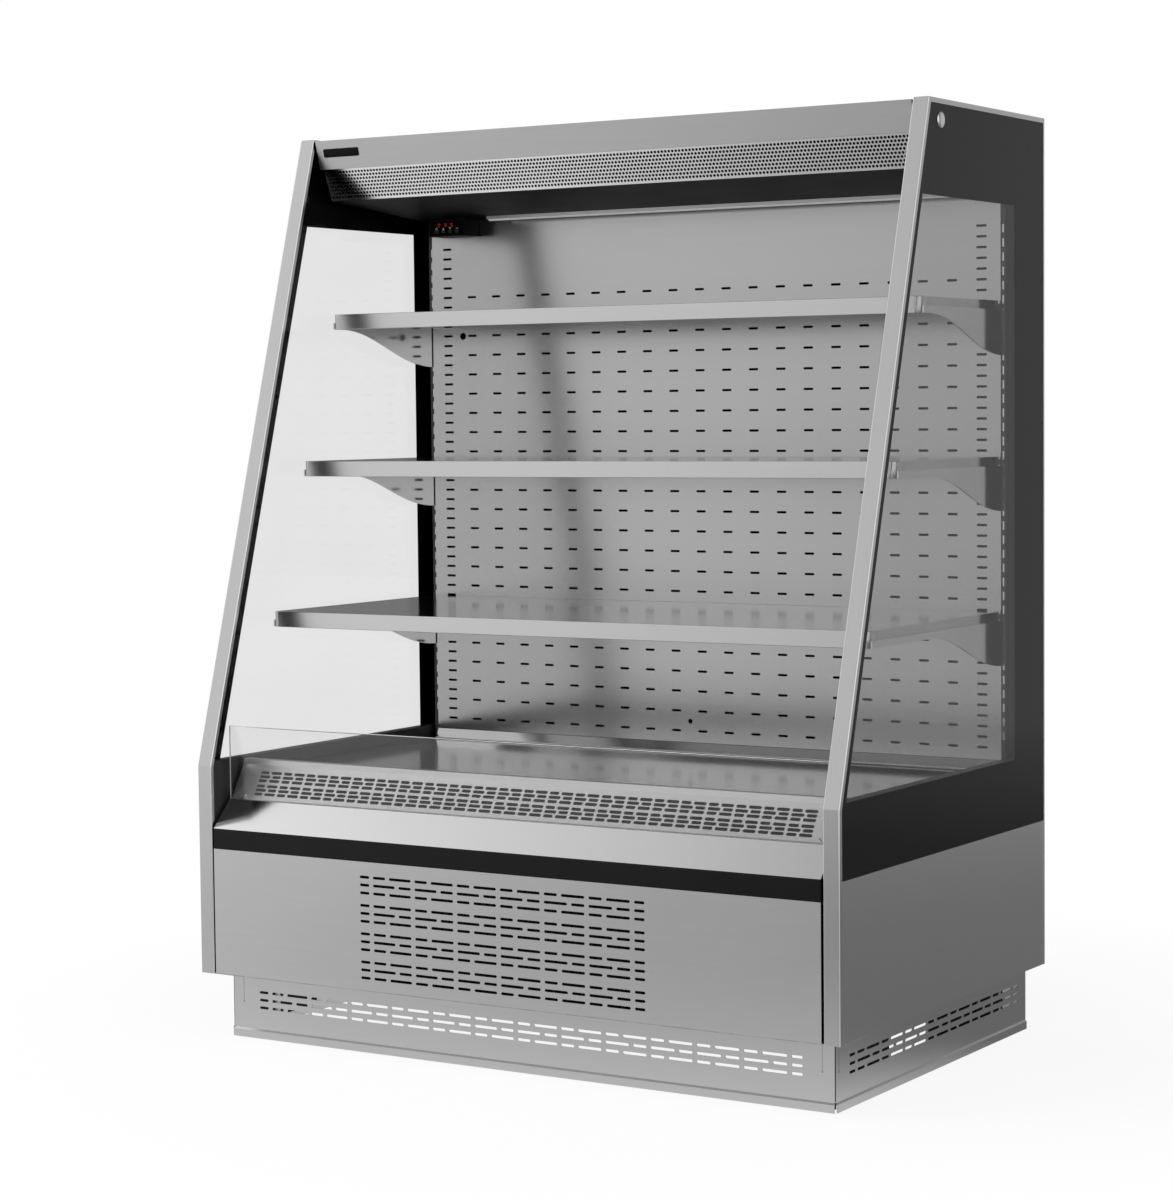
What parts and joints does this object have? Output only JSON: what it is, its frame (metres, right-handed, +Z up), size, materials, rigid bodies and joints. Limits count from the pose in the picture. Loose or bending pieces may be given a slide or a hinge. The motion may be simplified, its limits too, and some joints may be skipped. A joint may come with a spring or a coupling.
{
  "type": "open multideck display fridge",
  "caption": "Open-fronted multideck display fridge with lift-off shelves, glass sides, slotted air grilles and an integral cooling unit.",
  "frame": {"origin": "centre of the footprint on the floor", "axes": "+X across the front, +Y from front to back, +Z up"},
  "size_m": [1.3076, 0.81, 1.645],
  "materials": {
    "stainless": "brushed",
    "mirror_steel": "polished",
    "galvanised": "satin",
    "chrome": "polished",
    "dark_liner": "satin",
    "black_plastic": "matte",
    "grey_plastic": "matte",
    "button_plastic": "matte",
    "display_face": "gloss",
    "badge": "gloss",
    "diffuser": "satin",
    "clear_glass": "clear",
    "aluminium_fins": "satin",
    "black_enamel": "gloss",
    "copper": "satin",
    "foot_steel": "zinc plated"
  },
  "bodies": {
    "cabinet": {"base_frame": "galvanised", "plinth_front": "stainless", "plinth_rear": "stainless", "plinth_sides": "stainless", "base_pan": "galvanised", "insulated_tub": "dark_liner", "insulated_back": "dark_liner", "roof_panel": "galvanised", "rear_cover": "galvanised", "cable_gland": "black_plastic", "lower_side_left": "stainless", "lower_side_right": "stainless", "side_glass_left": "clear_glass", "side_glass_right": "clear_glass", "side_trim_left": "stainless", "side_trim_right": "stainless", "side_caps": "chrome", "bumper_band": "black_plastic", "fascia": "mirror_steel", "back_duct_panel": "stainless", "shelf_uprights": "dark_liner", "canopy_front": "stainless", "badge_plate": "badge", "discharge_grille": "stainless", "soffit": "dark_liner", "lamp_housing": "black_plastic", "lamp_lens": "diffuser", "controller_housing": "black_plastic", "controller_display": "display_face", "condenser_coil": "dark_liner", "condenser_shroud": "galvanised", "fan_plate": "galvanised", "evaporator_coil": "aluminium_fins", "compressor": "black_enamel", "electrical_box": "grey_plastic", "refrigerant_pipes": "copper", "shelf_brackets_1": "mirror_steel", "shelf_brackets_2": "mirror_steel", "shelf_brackets_3": "mirror_steel"},
    "foot_1": {"leveling_foot_1": "foot_steel"},
    "foot_2": {"leveling_foot_2": "foot_steel"},
    "foot_3": {"leveling_foot_3": "foot_steel"},
    "foot_4": {"leveling_foot_4": "foot_steel"},
    "shelf_1": {"shelf_tray_1": "stainless", "price_rail_1": "stainless"},
    "shelf_2": {"shelf_tray_2": "stainless", "price_rail_2": "stainless"},
    "shelf_3": {"shelf_tray_3": "stainless", "price_rail_3": "stainless"},
    "deck": {"deck_pan": "stainless"},
    "grille": {"return_grille": "stainless"},
    "riser": {"riser_glass": "clear_glass"},
    "service_door": {"service_panel": "stainless"},
    "button_1": {"controller_button_1": "button_plastic"},
    "button_2": {"controller_button_2": "button_plastic"},
    "button_3": {"controller_button_3": "button_plastic"},
    "button_4": {"controller_button_4": "button_plastic"},
    "condenser_fan": {"condenser_rotor": "black_plastic"},
    "evaporator_fan_left": {"evaporator_rotor_left": "black_plastic"},
    "evaporator_fan_right": {"evaporator_rotor_right": "black_plastic"}
  },
  "joints": [
    {"name": "foot_1_height", "type": "slide", "parent": "cabinet", "child": "foot_1", "axis": [0, 0, -1], "range_m": [0, 0.02]},
    {"name": "foot_2_height", "type": "slide", "parent": "cabinet", "child": "foot_2", "axis": [0, 0, -1], "range_m": [0, 0.02]},
    {"name": "foot_3_height", "type": "slide", "parent": "cabinet", "child": "foot_3", "axis": [0, 0, -1], "range_m": [0, 0.02]},
    {"name": "foot_4_height", "type": "slide", "parent": "cabinet", "child": "foot_4", "axis": [0, 0, -1], "range_m": [0, 0.02]},
    {"name": "shelf_1_lift", "type": "slide", "parent": "cabinet", "child": "shelf_1", "axis": [0, 0, 1], "range_m": [0, 0.03]},
    {"name": "shelf_2_lift", "type": "slide", "parent": "cabinet", "child": "shelf_2", "axis": [0, 0, 1], "range_m": [0, 0.03]},
    {"name": "shelf_3_lift", "type": "slide", "parent": "cabinet", "child": "shelf_3", "axis": [0, 0, 1], "range_m": [0, 0.03]},
    {"name": "deck_lift", "type": "slide", "parent": "cabinet", "child": "deck", "axis": [0, 0, 1], "range_m": [0, 0.05]},
    {"name": "grille_lift", "type": "slide", "parent": "cabinet", "child": "grille", "axis": [0, 0, 1], "range_m": [0, 0.04]},
    {"name": "riser_lift", "type": "slide", "parent": "cabinet", "child": "riser", "axis": [0, 0, 1], "range_m": [0, 0.05]},
    {"name": "service_panel_pull", "type": "slide", "parent": "cabinet", "child": "service_door", "axis": [0, -1, 0], "range_m": [0, 0.06]},
    {"name": "button_1_press", "type": "slide", "parent": "cabinet", "child": "button_1", "axis": [0, 1, 0], "range_m": [0, 0.001], "stiffness_N_per_m": 400},
    {"name": "button_2_press", "type": "slide", "parent": "cabinet", "child": "button_2", "axis": [0, 1, 0], "range_m": [0, 0.001], "stiffness_N_per_m": 400},
    {"name": "button_3_press", "type": "slide", "parent": "cabinet", "child": "button_3", "axis": [0, 1, 0], "range_m": [0, 0.001], "stiffness_N_per_m": 400},
    {"name": "button_4_press", "type": "slide", "parent": "cabinet", "child": "button_4", "axis": [0, 1, 0], "range_m": [0, 0.001], "stiffness_N_per_m": 400},
    {"name": "condenser_fan_spin", "type": "hinge", "parent": "cabinet", "child": "condenser_fan", "pos_m": [0, -0.265, 0.232], "axis": [0, 1, 0], "continuous": true},
    {"name": "evaporator_fan_left_spin", "type": "hinge", "parent": "cabinet", "child": "evaporator_fan_left", "pos_m": [-0.3, -0.13225, 0.427], "axis": [0, -0.5, 0.866], "continuous": true},
    {"name": "evaporator_fan_right_spin", "type": "hinge", "parent": "cabinet", "child": "evaporator_fan_right", "pos_m": [0.3, -0.13225, 0.427], "axis": [0, -0.5, 0.866], "continuous": true}
  ]
}
